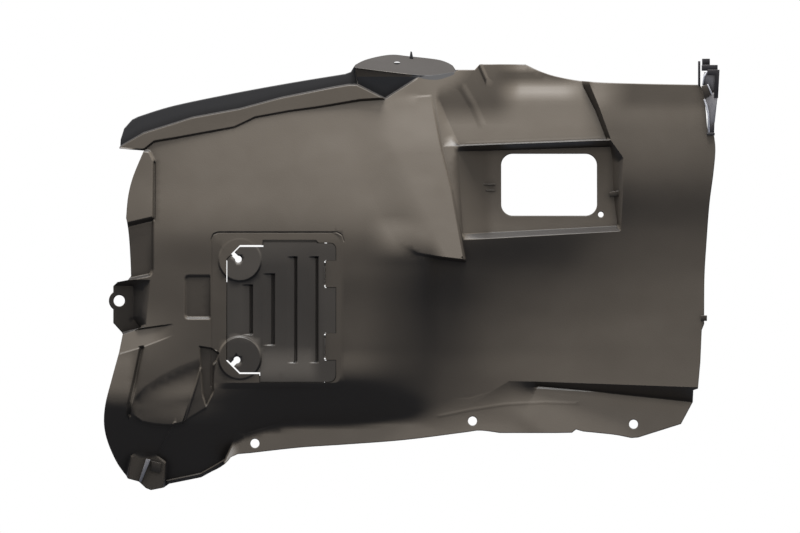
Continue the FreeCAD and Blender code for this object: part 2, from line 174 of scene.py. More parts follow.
def setBack(depth, target, soft, mask):
    # to the back where the target lies behind the sheet
    return depth + (softMax(depth, target, soft) - depth) * mask


def within(outline, x, y, width):
    # 1 inside the outline, 0 outside, easing over a width on the line
    return ease(0.5 - signedDistance(outline, x, y) / width)


def between(outer, inner, x, y):
    # 0 outside the outer line, 1 inside the inner one, a straight wall in between
    into, out = np.maximum(-signedDistance(outer, x, y), 0), np.maximum(signedDistance(inner, x, y), 0)
    t = into / (into + out + 1e-9)
    return 0.75 * t + 0.25 * ease(t)


# The barrel: depth in mm at these heights, section by section
barrel = {
    "heights": [80, 130, 180, 230, 270, 310, 350, 380, 400, 430, 480],
    "places": [120, 200, 280, 350, 400, 440, 500, 560, 600, 640, 700],
    "depths": [
        [112, 94, 81, 67, 59, 52.5, 41, 35.5, 34.5, 42, 81],
        [110, 92, 75, 58.5, 52.5, 47, 42, 38.5, 37.5, 42.5, 77],
        [108, 90, 72, 56, 50, 45.5, 41.5, 39, 46, 64, 100],
        [112, 92, 72, 54.5, 48.5, 45.5, 41, 37.5, 46, 68, 105],
        [118, 100, 80, 62, 59, 57, 54, 52.5, 56, 71, 105],
        [121, 102, 83, 66, 67, 70.5, 70, 68, 66.5, 64.5, 63],
        [110, 92, 80, 80, 84, 83.5, 79, 73.5, 70, 66, 62],
        [105, 86, 78, 82, 85, 82, 75, 68, 63, 56, 48],
        [98, 84, 76, 79, 78, 73.5, 66, 59.5, 54.5, 47, 38],
        [97, 83.5, 74.5, 74, 71, 65, 56.5, 49.5, 44.5, 38, 28],
        [86, 73, 65, 64, 60, 53, 45, 38, 33, 26, 16],
    ],
}


def through(places, rows, t):
    # smooth curve through the rows, straight beyond the ends
    places, rows = np.array(places, float), np.array(rows, float)
    last = len(places) - 1
    slopes = np.array([(rows[min(k + 1, last)] - rows[max(k - 1, 0)])
                       / (places[min(k + 1, last)] - places[max(k - 1, 0)]) for k in range(last + 1)])
    i = np.clip(np.searchsorted(places, t) - 1, 0, last - 1)
    span = places[i + 1] - places[i]
    u = (t - places[i]) / span
    v = np.clip(u, 0, 1)
    column = np.arange(t.size)
    pick = (lambda table, k: table[k]) if rows.ndim == 1 else (lambda table, k: table[k, column])
    low, high, slopeLow, slopeHigh = pick(rows, i), pick(rows, i + 1), pick(slopes, i), pick(slopes, i + 1)
    curve = ((1 + 2 * v) * (1 - v) ** 2 * low + v * (1 - v) ** 2 * span * slopeLow
             + v * v * (3 - 2 * v) * high + v * v * (v - 1) * span * slopeHigh)
    return curve + (u - v) * span * np.where(u > 1, slopeHigh, slopeLow)


def barrelDepth(x, y):
    rows = [through(barrel["heights"], depths, y) for depths in barrel["depths"]]
    return through(barrel["places"], rows, x)


# Planes that the moulding steps to: a place on the sheet, the depth there,
# and how much deeper the plane gets for each millimetre right and down
planes = {
    "rail": (sheetX, sheetY, railDepth, 0.0, -0.4),
    "bulge": (465, 258, 46.0, 0.06, -0.42),
    "bulgeFoot": (445, 258, 44.5, -0.11, 0.0),
    "lip": (255, 117, 93.0, 0.02, -0.21),
    "strip": (255, 105, 131.0, 0.02, -0.03),
    "shelf": (421, 75, 121.0, 0.2261, -1.9),
    "underShelf": (421, 71, 121.0, 0.0, 0.1),
    "tab": (119, 301, 77.0, 0.0, 0.0),
    "facet": (124, 331, 50.4, -0.0559, -0.43),
    "boss": (145, 470, 56.0, 0.0, -0.12),
    "pad": (277.75, 310, 44.5, -0.02, -0.125),
    "wedge": (200, 350, 38.5, 0.0, -0.03),
    "channel": (210, 350, 45.0, 0.0, -0.05),
    "pocket": (540, 230, 97.0, 0.0, -0.34),
}
moulding = {"wall": 2.5, "mostWall": 2.2, "rim": 0.9, "rimDrop": 0.8, "rimTurn": 5.0}
railTurn = {"below": 450, "rise": 0.5}
pocketFloor = {"curve": 0.0012, "sideAt": 490, "side": 0.7}
roll = {"radius": 656.0, "axisY": 373.0, "axisDepth": 714.5, "tilt": 2.7, "turnX": 534, "turnY": 138,
        "flatTop": 114, "flat": 0.06, "flatLeft": 0.26, "patchTop": 97, "patch": 0.25}
# where each form fades in: a place on the sheet and the length of the fade,
# negative where it fades in towards the left or up
fades = {
    "railTurn": (241, -11), "bulgeFoot": (445, -20), "bulgeSoft": (425, -40), "bulgeTop": (78, 75),
    "rollLeft": (522, -30), "patchRight": (590, -30), "patchTop": (68, 20),
    "runOutLeft": (362, 40), "runOutRight": (444, -22), "runOutTop": (216, 44), "runOutFoot": (400, -180),
    "marginRight": (138, -9), "marginFoot": (434, -28),
    "cornerLight": (612, 22), "cornerDarkLeft": (586, 8), "cornerDarkRight": (618, -18),
    "facetRight": (175, -24), "dimpleRight": (211, -1.5), "leafLeft": (131, 6),
    "panelTop": (241, 108), "panelFoot": (346, 37), "panelLeft": (238, 24), "panelRight": (323, -14),
}


def fade(name, place):
    start, length = fades[name]
    return ease((place - start) / length)


def plane(name, x, y):
    atX, atY, depth, right, down = planes[name]
    return depth + right * (x - atX) + down * (y - atY)


def railPlane(x, y):
    # the left end turns up
    return plane("rail", x, y) + railTurn["rise"] * (railTurn["below"] - y) * fade("railTurn", x)


def bulgePlane(x, y):
    # flatter towards its left end
    steep = plane("bulge", x, y)
    return steep + (softMax(steep, plane("bulgeFoot", x, y), 6) - steep) * fade("bulgeFoot", x)


def pocketPlane(x, y):
    # the floor leans more towards its lower edge, and its left side comes forward
    floor = plane("pocket", x, y) - pocketFloor["curve"] * (planes["pocket"][1] - y) ** 2
    return softMin(floor, floor - pocketFloor["side"] * (pocketFloor["sideAt"] - x), 3.0)


def rollDepth(x, y):
    tilt = math.radians(roll["tilt"])
    tilted = roll["turnY"] + (y - roll["turnY"]) * math.cos(tilt) + (x - roll["turnX"]) * math.sin(tilt)
    depth = roll["axisDepth"] - np.sqrt(roll["radius"] ** 2 - (tilted - roll["axisY"]) ** 2)
    # flatter at the upper left, a steeper patch near the top edge at the right
    left = fade("rollLeft", x)
    depth = depth - (roll["flat"] + roll["flatLeft"] * left) * rising(roll["flatTop"] - y, 10)
    patch = (1 - left) * fade("patchRight", x) * fade("patchTop", y)
    return depth + roll["patch"] * rising(roll["patchTop"] - y, 5) * patch


# Outlines of the forms, in sheet millimetres
rimLine = [(119.6, 146), (143, 132.5), (174, 122.7), (192, 117), (239, 108.4),
           (280, 97.3), (333.6, 86.5), (348.6, 84), (357, 84)]
outlines = {
    "bulge": [(326, 101), (385, 98), (431, 95), (442, 150), (452, 190), (465, 261),
              (440, 258), (418, 254), (398, 246), (383, 226), (370, 195), (344, 150)],
    "lip": [(100, 148)] + rimLine + [(385, 98), (360, 99.8), (321, 106.4), (288, 111), (255, 117),
                                     (234, 127), (174, 138), (153.6, 141.4), (143.7, 149.5), (110, 149.5)],
    "strip": [(90, 160)] + rimLine + [(354, 67), (351, 40), (60, 40)],
    "shelf": [(352, 66.5), (388, 71.2), (421, 75), (438, 73), (457, 70), (457, 30), (340, 30), (346, 66)],
    "underShelf": [(354, 67), (388, 71.2), (421, 75), (385, 98), (357, 84)],
    "rollNear": [(442, 20), (435, 97), (443, 146.5), (459, 145.5), (611, 139.5),
                 (599, 106), (590, 84), (588, 20)],
    "rollFar": [(446, 20), (440, 100), (448, 120), (459.5, 145), (607, 139),
                (596, 110), (583, 84), (578, 20)],
    "pocketNear": [(440, 146), (459, 146), (611, 140.5), (623.5, 158), (623, 193),
                   (621, 231), (463, 240), (452, 190)],
    "pocketFar": [(458.5, 151), (611, 146), (613, 158), (614, 193), (618, 226), (463, 234), (460.5, 190)],
    "tabNear": [(80, 279), (150.5, 280), (146, 326), (124, 334), (80, 334)],
    "tabFar": [(80, 284), (133, 286), (133, 318), (141, 328), (123, 332.5), (80, 332.5)],
    "railNear": [(458, 413), (509, 381), (697, 387.5), (760, 388), (760, 470), (458, 470)],
    "railFar": [(522, 418), (538, 386), (692, 402), (760, 402), (760, 469), (461, 469)],
    "rail": [(236, 436), (326, 410), (423, 400), (470, 398), (509, 386), (760, 402),
             (760, 520), (222, 520), (224, 462)],
    "tabBack": [(80, 284), (133, 286), (133, 318), (114, 330), (80, 330)],
    "edgePad": [(80, 145), (149, 151), (153.5, 160), (152.8, 218), (127, 224), (80, 226)],
    "wedge": [(200, 348), (217, 351), (213, 380), (206, 408), (185, 421), (202, 370)],
    "boss": [(131, 456), (146, 448), (166, 462), (163, 500), (150, 505), (124, 490)],
    "facet": [(80, 330), (124, 331), (150, 327.5), (174, 324), (174, 335),
              (143, 347), (119, 354), (80, 360)],
    "recess": [(80, 227), (127, 226), (152.8, 220), (152.5, 271), (150, 275), (131, 279), (80, 281)],
    "dimple": roundCorners(rect(185.5, 276, 26.5, 42), 3),
    "channel": [(200, 346.5), (212, 348.5), (219, 353.5), (216.5, 361), (213.5, 364),
                (213.5, 392), (206.5, 406), (203, 395), (201, 369)],
    "padFoot": roundCorners(rect(210.8, 232, 133.7, 156.5), [7, 12, 8, 6]),
    "padTop": roundCorners(rect(212, 233.2, 128, 149.5), [6, 10, 6, 5]),
}
# lines that stand up (above zero) or sink in, with half their width
creases = {
    "rollRidge": ([(463, 87.5), (474, 106), (481.5, 123)], 0.7, 5.5),
    "notchRidge": ([(478.4, 60), (486.5, 78.5)], 1.6, 3.3),
    "leafGutter": ([(142, 348.5), (136, 378), (130, 404), (129, 414)], -4.4, 3.2),
    "wedgeEdge": ([(201, 369), (193, 395), (184.4, 421.6)], 1.8, 2.0),
    "cornerRidge": ([(175, 422.5), (158.2, 454)], 1.5, 1.8),
    "edgePadLine": ([(154.3, 163), (154.3, 219)], -1.3, 1.6),
    "recessLine": ([(127, 225.5), (153, 219.5)], -1.2, 2.4),
    "railEnd": ([(240, 436), (232, 450), (225, 466)], 1.6, 6.0),
    "cornerFlange": ([(167, 481.6), (201, 474.4), (212, 468.2), (226, 460), (232, 454.4)], 3.0, 1.9),
    "rollRim": ([(466, 143.3), (610, 137.8)], 0.15, 2.4),
    "railRib": ([(440, 416), (470, 410), (505, 404.5), (545, 402.5), (575, 403.5)], 0.35, 2.6),
    "padLine": ([(211.3, 386), (211.3, 240), (213.2, 234.6), (218.5, 232.4),
                 (337, 232.4), (342, 235), (344, 241)], -0.5, 1.1),
}
hinges = [[(325, 263.3), (325, 284.7)], [(325, 335.8), (325, 357.2)]]

# The service flap: the pad's face, its discs, the sunk panel and the grooves
pad = {"left": 211, "top": 232, "blendRight": 26, "blendDown": 34, "behindBarrel": 0.6}
discs = {"radius": 21.3, "wall": 2.4, "lean": 0.02}
# centre, rise at the centre and lean down the sheet of each disc
discPlaces = [(240.0, 260.0, 0.2, 0.19), (240.0, 357.8, 1.4, 0.09)]
film = {"depth": 1.1, "halfWidth": 1.1}
panel = {"sink": 0.8, "deeper": 4.3, "footRise": 4.5}
groove = {"ramp": 1.3, "rampShare": 0.7, "slot": 3.8, "slotShare": 0.72, "wall": 0.8, "end": 0.9}
# left, top, width and height of each groove
groovePlaces = [(240.8, 284.5, 12.2, 50.5), (262.0, 273.5, 13.0, 72),
                (286.6, 256.5, 10.8, 106.5), (308.0, 256.5, 10.6, 106.5)]
stud = {"x": 283.5, "y": 375.5, "rise": 1.1, "radius": 2.1}


def padBase(x, y):
    # flush with the barrel at the top left, a plane elsewhere
    beside = barrelDepth(x, y) + pad["behindBarrel"]
    blend = ease(np.minimum((x - pad["left"]) / pad["blendRight"], (y - pad["top"]) / pad["blendDown"]))
    return beside + (plane("pad", x, y) - beside) * blend


def padFace(x, y, sunk=0.0):
    depth = padBase(x, y) + sunk
    for cx, cy, rise, lean in discPlaces:
        centre = padBase(np.array([cx]), np.array([cy]))[0]
        face = centre - rise - discs["lean"] * (x - cx) - lean * (y - cy)
        inside = ease(0.5 + (discs["radius"] - np.hypot(x - cx, y - cy)) / discs["wall"])
        depth = bringForward(depth, face, 0.5, inside)
    return depth


def filmSink(x, y):
    # the front groove that thins the sheet on the hinge line
    return sum(film["depth"] * ease(1 - lineDistance(line, x, y) / film["halfWidth"]) for line in hinges)


def flapFace(x, y):
    # the panel sinks further down the flap and comes up again at its foot
    sunk = panel["sink"] + panel["deeper"] * fade("panelTop", y) - panel["footRise"] * fade("panelFoot", y)
    depth = padFace(x, y, sunk * fade("panelLeft", x) * fade("panelRight", x))
    for left, top, width, height in groovePlaces:
        # a gentle left wall that ends in a narrow slot
        across, right = x - left, left + width - x
        along = ease(np.minimum(y - top, top + height - y) / groove["end"])
        ramp = groove["ramp"] * ease(across / (groove["rampShare"] * width))
        slot = groove["slot"] * ease((across - groove["slotShare"] * width) / groove["wall"])
        depth = depth + (ramp + slot) * ease(right / groove["wall"]) * along
    return depth - stud["rise"] * ease(stud["radius"] - np.hypot(x - stud["x"], y - stud["y"]))


# The scoop at the lower left: its upper and lower line, how deep it dips,
# how far its lip stands up where the scoop is as wide as reach, and its right side
leaf = {
    "top": [(131, 411), (135, 396.7), (144.4, 385.6), (161, 374.5), (179.5, 365), (203, 356)],
    "low": [(131, 412), (142.5, 420.7), (155.5, 423.5), (170, 424.4), (184, 421.6), (203, 415)],
    "dip": 1.7, "lip": 4.8, "reach": 50, "right": 201, "rightY": 369, "lean": -0.316,
}


def leafSink(x, y):
    # shallow scoop that ends in a crisp lower lip
    top, low = (np.interp(x, *zip(*leaf[name])) for name in ("top", "low"))
    reach = np.maximum(low - top, 1.0)
    t = np.clip((y - top) / reach, 0, 1)
    dip = leaf["dip"] * ease(t / 0.25) * (1 - ease((t - 0.25) / 0.4))
    bowl = dip - leaf["lip"] * np.clip((t - 0.35) / 0.65, 0, 1) ** 2
    side = fade("leafLeft", x) * ease((leaf["right"] + leaf["lean"] * (y - leaf["rightY"]) - x) / 2)
    return bowl * reach / leaf["reach"] * side * (1 - ease((y - low) / 2.5))


# Sweeps of the barrel: how far forward, most of them for each mm along the sheet,
# and the places where they start and end
sweeps = {"runOut": 9.5, "runOutRight": 0.13, "runOutFrom": 400, "margin": 0.17, "marginTop": 354,
          "marginFoot": 402, "cornerFoot": 106, "cornerLight": 0.13, "cornerDark": 0.12}


def sweptBarrel(x, y):
    depth = barrelDepth(x, y)
    # the barrel runs out of the bulge without a step on its left
    runOut = sweeps["runOut"] + sweeps["runOutRight"] * np.maximum(x - sweeps["runOutFrom"], 0)
    runOut = runOut * fade("runOutLeft", x) * fade("runOutRight", x)
    depth = depth - runOut * fade("runOutTop", y) * fade("runOutFoot", y)
    # the left margin comes forward down to the round corner
    margin = sweeps["margin"] * rising(np.minimum(y, sweeps["marginFoot"]) - sweeps["marginTop"], 6)
    depth = depth - margin * fade("marginRight", x) * fade("marginFoot", y)
    # brighter and darker sweeps near the top right corner
    high = rising(sweeps["cornerFoot"] - y, 6)
    dark = sweeps["cornerDark"] * fade("cornerDarkLeft", x) * fade("cornerDarkRight", x)
    return depth + high * (dark - sweeps["cornerLight"] * fade("cornerLight", x))


# fields sunk into the barrel: top, depth there, more depth for each mm down
sunkFields = {"dimple": (276, 1.6, 0.05), "recess": (222, 3.4, 0.08)}
# how softly each form meets the sheet, and the width of the step on its outline
steps = {"lip": (2.5, 2.0), "wedge": (1, 2), "channel": (1, 1.6), "boss": (2, 2), "facet": (0.8, 1.4),
         "strip": (0.8, 1.6), "shelf": (0.8, 1.2), "underShelf": (0.8, 1.6)}
bulgeStep = {"soft": 4, "width": 2.5, "widthLeft": 16, "left": 326, "leftTop": 101,
             "lean": 0.45, "fade": 50}
edgePadRise = 4.0
wallSoft = 1.5


def linerDepth(x, y):
    def mask(name, width):
        return within(outlines[name], x, y, width)

    def stepped(depth, move, name, share=1):
        soft, width = steps[name]
        return move(depth, plane(name, x, y), soft, mask(name, width) * share)

    depth = sweptBarrel(x, y)
    b = bulgeStep
    bulge = mask("bulge", b["width"] + b["widthLeft"] * fade("bulgeSoft", x)) * fade("bulgeTop", y)
    bulge = bulge * ease((x - b["left"] - b["lean"] * (y - b["leftTop"])) / b["fade"])
    depth = bringForward(depth, bulgePlane(x, y), b["soft"], bulge)
    depth = stepped(depth, bringForward, "lip")
    depth = depth + (padFace(x, y) - depth) * between(outlines["padFoot"], outlines["padTop"], x, y)
    depth = depth - edgePadRise * mask("edgePad", 2.5) + leafSink(x, y)
    depth = stepped(depth, bringForward, "wedge")
    depth = stepped(depth, setBack, "channel")
    depth = stepped(depth, bringForward, "boss")
    # parts that step back behind a sloping wall
    floors = {"roll": rollDepth(x, y), "pocket": pocketPlane(x, y),
              "tab": plane("tab", x, y), "rail": railPlane(x, y)}
    for name, floor in floors.items():
        wall = between(outlines[name + "Near"], outlines[name + "Far"], x, y)
        depth = setBack(depth, floor, wallSoft, wall)
    for name in ("strip", "shelf", "underShelf"):
        depth = stepped(depth, setBack, name)
    depth = stepped(depth, setBack, "facet", fade("facetRight", x))
    for name, width, side in (("dimple", 2.6, fade("dimpleRight", x)), ("recess", 2.5, 1)):
        top, sunk, deeper = sunkFields[name]
        depth = depth + (sunk + deeper * (y - top)) * mask(name, width) * side
    for line, rise, width in creases.values():
        depth = depth - rise * ease(1 - lineDistance(line, x, y) / width)
    # flanges that stay in front of what falls away behind them
    for name, soft, floor in (("rail", 5, floors["rail"]), ("strip", 0.5, plane("strip", x, y)),
                              ("shelf", 0.5, plane("shelf", x, y)), ("tabBack", 1, floors["tab"])):
        depth = bringForward(depth, floor, soft, mask(name, 1.5))
    return depth


# Cut lines
silhouette = (
    [(119, 148.5), (119.5, 139), (123, 128), (131, 119)]
    + smoothRun([(137, 116), (172, 105.2), (230, 93), (290, 82), (345, 73)]) + [(350.5, 71)]
    + smoothRun([(355, 64), (364, 59.3), (378, 55.4), (393, 53.4),
                 (409, 55), (428, 57), (441, 59), (449, 62)])
    + [(453, 64.5), (456, 69), (475, 69), (480, 63.5)]
    + smoothRun([(526, 63.5), (541, 70.5), (560, 76.3), (592, 81.3), (640, 83.2), (700, 84.5)])
    + smoothRun([(704, 90), (706, 110), (707.5, 128), (709, 134)])
    + smoothRun([(714.2, 135.2), (715.5, 150), (713.5, 173), (709.5, 204),
                 (706.5, 243), (704.5, 275), (704, 309), (704, 324)])
    + [(701.5, 330), (700, 362), (697.5, 388.5), (693, 390), (693, 402), (681, 424), (638, 437.5)]
    + smoothRun([(631, 438), (616, 435), (600, 433.2), (583, 431.5)])
    + [(576, 429.5), (572, 432.7), (556, 433)]
    + smoothRun([(500, 433), (480, 430.6), (464, 432.5), (404, 440), (345, 444.5), (300, 447.5), (250, 453)])
    + [(238, 454)] + smoothRun([(231, 457), (226, 463), (219, 468), (212, 471.5)])
    + [(201, 477.5), (169, 484), (164, 487.5), (151, 490), (146, 488), (139, 481.5)]
    + smoothRun([(128, 478.5), (117, 463), (108, 442), (104.5, 424), (106, 404), (112, 380), (119.5, 352)])
    + [(123, 334), (113, 323)] + arc(119, 300.8, 10.4, 125, 235, 1.5)
    + [(113, 286), (117.5, 282), (128, 280)]
    + smoothRun([(131, 276), (130.5, 262), (129, 238), (127, 222)])
    + smoothRun([(126, 218), (128, 196), (133, 176), (143.5, 150.5)])
)
flapCorners = [
    # x, y, corner radius, and half the slit on the edge that starts here,
    # which is nearly closed on the hinge line
    (263, 241, 0, 1.3), (316, 241, 0, 0.9), (318, 243, 0, 0.3), (336, 243, 6, 0.3),
    (336, 260.5, 0, 0.12), (325, 260.5, 0, 0.01), (325, 287.5, 0, 0.35), (336, 287.5, 0, 0.3),
    (336, 333, 0, 0.12), (325, 333, 0, 0.01), (325, 360, 0, 0.35), (336, 360, 0, 0.3),
    (336, 382, 7, 0.4), (260, 382, 0, 0.4), (260, 373, 0, 0.8), (240, 373, 0, 0.7),
    (227, 360, 0, 0.4), (227, 259, 0, 0.55), (240, 246, 0, 0.9), (263, 246, 0, 0.4),
]


def flapLoop(way):
    # the flap's edge on its own side (-1) or the liner's side (1) of the slit
    moved = moveEdges([corner[:2] for corner in flapCorners], [way * corner[3] for corner in flapCorners])
    return roundCorners(moved, [corner[2] for corner in flapCorners])


def keyhole(x, y, turn):
    half, reach = 1.6, 9.0
    slot = [(x + half, y - half * turn), (x - reach + half, y - (reach + half) * turn),
            (x - reach - half, y - (reach - half) * turn), (x - half, y + half * turn)]
    return [arc(x, y, 3.4), slot]


ovalTurns = np.linspace(0, 2 * math.pi, 17)[:-1]
openings = {
    "railMiddle": arc(sheetX, sheetY, 4.5), "railLeft": arc(255, 443.3, 4.5),
    "railRight": arc(633.5, 424.2, 4.5),
    "tab": arc(119, 300.8, 5.6), "pocketCorner": arc(601.3, 214.4, 2.8),
    "window": roundCorners(rect(501.5, 153.5, 96, 62), 11.5),
    "shelf": [(397 + 3.2 * math.cos(turn), 62 + 1.5 * math.sin(turn)) for turn in ovalTurns],
}
linerHoles = list(openings.values())
keyholes = keyhole(238.4, 259.2, 1) + keyhole(237.2, 359.8, -1)
reliefHoles = [arc(325, y, 0.75, step=0.6) for y in (262.0, 286.0, 334.5, 358.5)]


def sideRow(row, closed, away):
    # the row moved sideways, mitred at its corners
    out, count = [], len(row)
    for i, (x, y) in enumerate(row):
        here = Vector((x, y))
        into = here - Vector(row[i - 1] if i or closed else row[i])
        onward = Vector(row[(i + 1) % count] if i < count - 1 or closed else row[i]) - here
        into = into.normalized() if into.length else onward.normalized()
        onward = onward.normalized() if onward.length else into
        mean = (into + onward).normalized() if (into + onward).length > 0.1 else onward
        reach = away / max(0.4, mean.dot(onward))
        out.append((x + mean.y * reach, y - mean.x * reach))
    return out


def sheetPoints(outer, bands, spacing, clear=4):
    # rows along every step, then an even field in the cells that they leave clear
    kept, edges = [], []
    for line, closed, offsets, step in bands:
        row = resample(line, closed, step)
        for away in offsets:
            start, count = len(kept), len(row)
            kept += sideRow(row, closed, away)
            edges += [(start + i, start + (i + 1) % count) for i in range(count if closed else count - 1)]
    near = {(round(x / clear), round(y / clear)) for x, y in kept}
    xs, ys = [p[0] for p in outer], [p[1] for p in outer]
    y, row = min(ys), 0
    while y < max(ys):
        x = min(xs) + (spacing / 2 if row % 2 else 0)
        while x < max(xs):
            if (round(x / clear), round(y / clear)) not in near:
                kept.append((x, y))
            x += spacing
        y += spacing * 0.866  # rows of even triangles
        row += 1
    return kept, edges


def cutSheet(loops, bands, spacing):
    # flat triangles inside the first loop and outside the others
    coords, edges = [], []
    for loop in loops:
        ring = resample(loop, True, 2.2)
        start = len(coords)
        coords += ring
        edges += [(start + i, start + (i + 1) % len(ring)) for i in range(len(ring))]
    extra, rows = sheetPoints(loops[0], bands, spacing)
    edges += [(len(coords) + a, len(coords) + b) for a, b in rows]
    coords += extra
    flat, _, faces, *_ = geometry.delaunay_2d_cdt([Vector(p) for p in coords], edges, [], 0, 1e-5)
    flat = np.array([tuple(p) for p in flat])
    faces = np.array([f for f in faces if len(f) == 3])
    middle = flat[faces].mean(axis=1)
    faces = faces[rimAt(loops, middle[:, 0], middle[:, 1]) > 0]
    used = np.unique(faces)
    renumber = np.zeros(len(flat), int)
    renumber[used] = np.arange(len(used))
    flat, faces = flat[used], renumber[faces]
    a, b, c = flat[faces[:, 0]], flat[faces[:, 1]], flat[faces[:, 2]]
    turned = (b - a)[:, 0] * (c - a)[:, 1] - (b - a)[:, 1] * (c - a)[:, 0] > 0
    faces[turned] = faces[turned][:, ::-1]
    return flat[:, 0], flat[:, 1], faces


def rimAt(loops, x, y):
    # how far a place lies inside the cut edges
    rim = -signedDistance(loops[0], x, y)
    for hole in loops[1:]:
        rim = np.minimum(rim, signedDistance(hole, x, y))
    return rim


def slopes(valueAt, x, y, reach):
    # change to the right and downward over twice the reach
    return valueAt(x + reach, y) - valueAt(x - reach, y), valueAt(x, y + reach) - valueAt(x, y - reach)


def reliefMesh(name, loops, rims, bands, depthAt, spacing):
    # a sheet cut by the loops, with rounded rims where rims has a line
    x, y, faces = cutSheet(loops, bands, spacing)
    count, reach = len(x), 0.4
    rim = rimAt(rims, x, y)
    near = rim < moulding["rim"]
    turnX, turnY = np.zeros(count), np.zeros(count)
    turnX[near], turnY[near] = slopes(lambda px, py: -rimAt(rims, px, py), x[near], y[near], 0.1)
    rounding = 1 - np.sqrt(1 - np.clip(1 - rim / moulding["rim"], 0, 1) ** 2)
    slopeX, slopeY = (change / (2 * reach) for change in slopes(depthAt, x, y, reach))
    filmX, filmY = (change / (2 * reach) for change in slopes(filmSink, x, y, reach))
    plain = depthAt(x, y)
    steep = np.minimum(moulding["mostWall"], np.sqrt(1 + slopeX ** 2 + slopeY ** 2))
    front = plain + filmSink(x, y) + moulding["rim"] * rounding * moulding["rimDrop"]
    behind = plain + moulding["wall"] * steep
    verts = np.concatenate([toFrame(x, y, front), toFrame(x, y, behind)])
    sides = np.concatenate([faces[:, [0, 1]], faces[:, [1, 2]], faces[:, [2, 0]]])
    keys = set(map(tuple, sides))
    border = [(p, q) for p, q in keys if (q, p) not in keys]
    polygons = [tuple(f) for f in faces] + [tuple(f[::-1] + count) for f in faces]
    polygons += [(q, p, p + count, q + count) for p, q in border]
    mesh = bpy.data.meshes.new(name)
    mesh.from_pydata([tuple(v) for v in verts], [], polygons)
    mesh.update()
    mesh.polygons.foreach_set("use_smooth", np.ones(len(polygons), bool))
    # the true slope shades each sheet, and the cut edges stay crisp
    turn = moulding["rimTurn"] * np.clip(1 - rim / moulding["rim"], 0, 1)
    ones = np.ones(count)
    frontOut = np.stack([slopeX + filmX + turn * turnX, -ones, -slopeY - filmY - turn * turnY], axis=-1)
    behindOut = np.stack([slopeX, -ones, -slopeY], axis=-1)
    out = np.concatenate([frontOut, -behindOut])
    out /= np.linalg.norm(out, axis=1)[:, None]
    corners = np.zeros(len(mesh.loops), int)
    mesh.loops.foreach_get("vertex_index", corners)
    normals = out[corners]
    faceOut = np.zeros(len(mesh.polygons) * 3)
    mesh.polygons.foreach_get("normal", faceOut)
    sheets = 2 * len(faces)
    normals[sheets * 3:] = np.repeat(faceOut.reshape(-1, 3)[sheets:], 4, axis=0)
    mesh.normals_split_custom_set(normals.tolist())
    made = bpy.data.objects.new(name, mesh)
    bpy.context.scene.collection.objects.link(made)
    print(name, "triangles", sheets + 2 * len(border))
    return made


# Lines that the mesh must follow: the line, whether it is closed,
# how far beside it each row of points lies, and the step along it
outlineRows = [
    ((-2.2, -1.1, 0.0, 1.1, 2.2), 2.2, ("edgePad", "wedge", "boss", "facet", "recess", "dimple")),
    ((-1.9, -1.2, -0.4, 0.4, 1.2, 1.9), 2.0, ("bulge", "lip", "strip", "shelf", "underShelf", "channel")),
    ((-1.2, -0.5, 0.0, 0.5, 1.2), 2.0, ("rollNear", "rollFar", "pocketNear", "pocketFar", "tabNear", "tabFar",
                                        "railNear", "railFar", "rail", "padFoot", "padTop")),
]
creaseRows = (-1.0, -0.66, -0.33, 0.0, 0.33, 0.66, 1.0)  # times half the crease's width
linerBands = [(silhouette, True, (-0.45, -0.9), 2.2)]
linerBands += [(loop, True, (0.45, 0.9), 2.2) for loop in linerHoles + [flapLoop(1)]]
linerBands += [(outlines[name], True, rows, step) for rows, step, names in outlineRows for name in names]
linerBands += [(line, False, tuple(width * row for row in creaseRows), 1.6)
               for line, rise, width in creases.values()]
linerBands += [(line, False, (-1.1, -0.5, 0.0, 0.5, 1.1), 2.0) for line in hinges]
linerBands += [(leaf["low"], False, (-3.0, -1.5, -0.6, 0.0, 0.8, 1.6, 2.5), 2.0),
               (leaf["top"], False, (-2.0, 0.0, 2.0, 4.0), 2.0)]
discBands = [(arc(x, y, discs["radius"]), True, (-1.4, -0.9, -0.4, 0.1, 0.6, 1.2), 1.8)
             for x, y, rise, lean in discPlaces]
flapBands = [(flapLoop(-1), True, (-0.45, -0.9), 2.0)] + discBands
flapBands += [(rect(*place), True, (-1.5, -0.9, -0.2, 0.5), 2.0) for place in groovePlaces]
for left, top, width, height in groovePlaces:
    slotX = left + 0.74 * width + 0.4
    flapBands.append(([(slotX, top + 2), (slotX, top + height - 2)], False, (-1.0, -0.4, 0.4, 1.0), 2.0))

# the slit's rims stay sharp, so the flap's outer rim line here lies well outside it
farOutside = rect(200, 200, 160, 220)
liner = reliefMesh("linerSkin", [silhouette] + linerHoles + [flapLoop(1)] + reliefHoles,
                   [silhouette] + linerHoles, linerBands + discBands, linerDepth, 5.5)
flap = reliefMesh("flapSkin", [flapLoop(-1)] + keyholes + reliefHoles,
                  [farOutside] + keyholes, flapBands, flapFace, 4.5)
print("skins made")

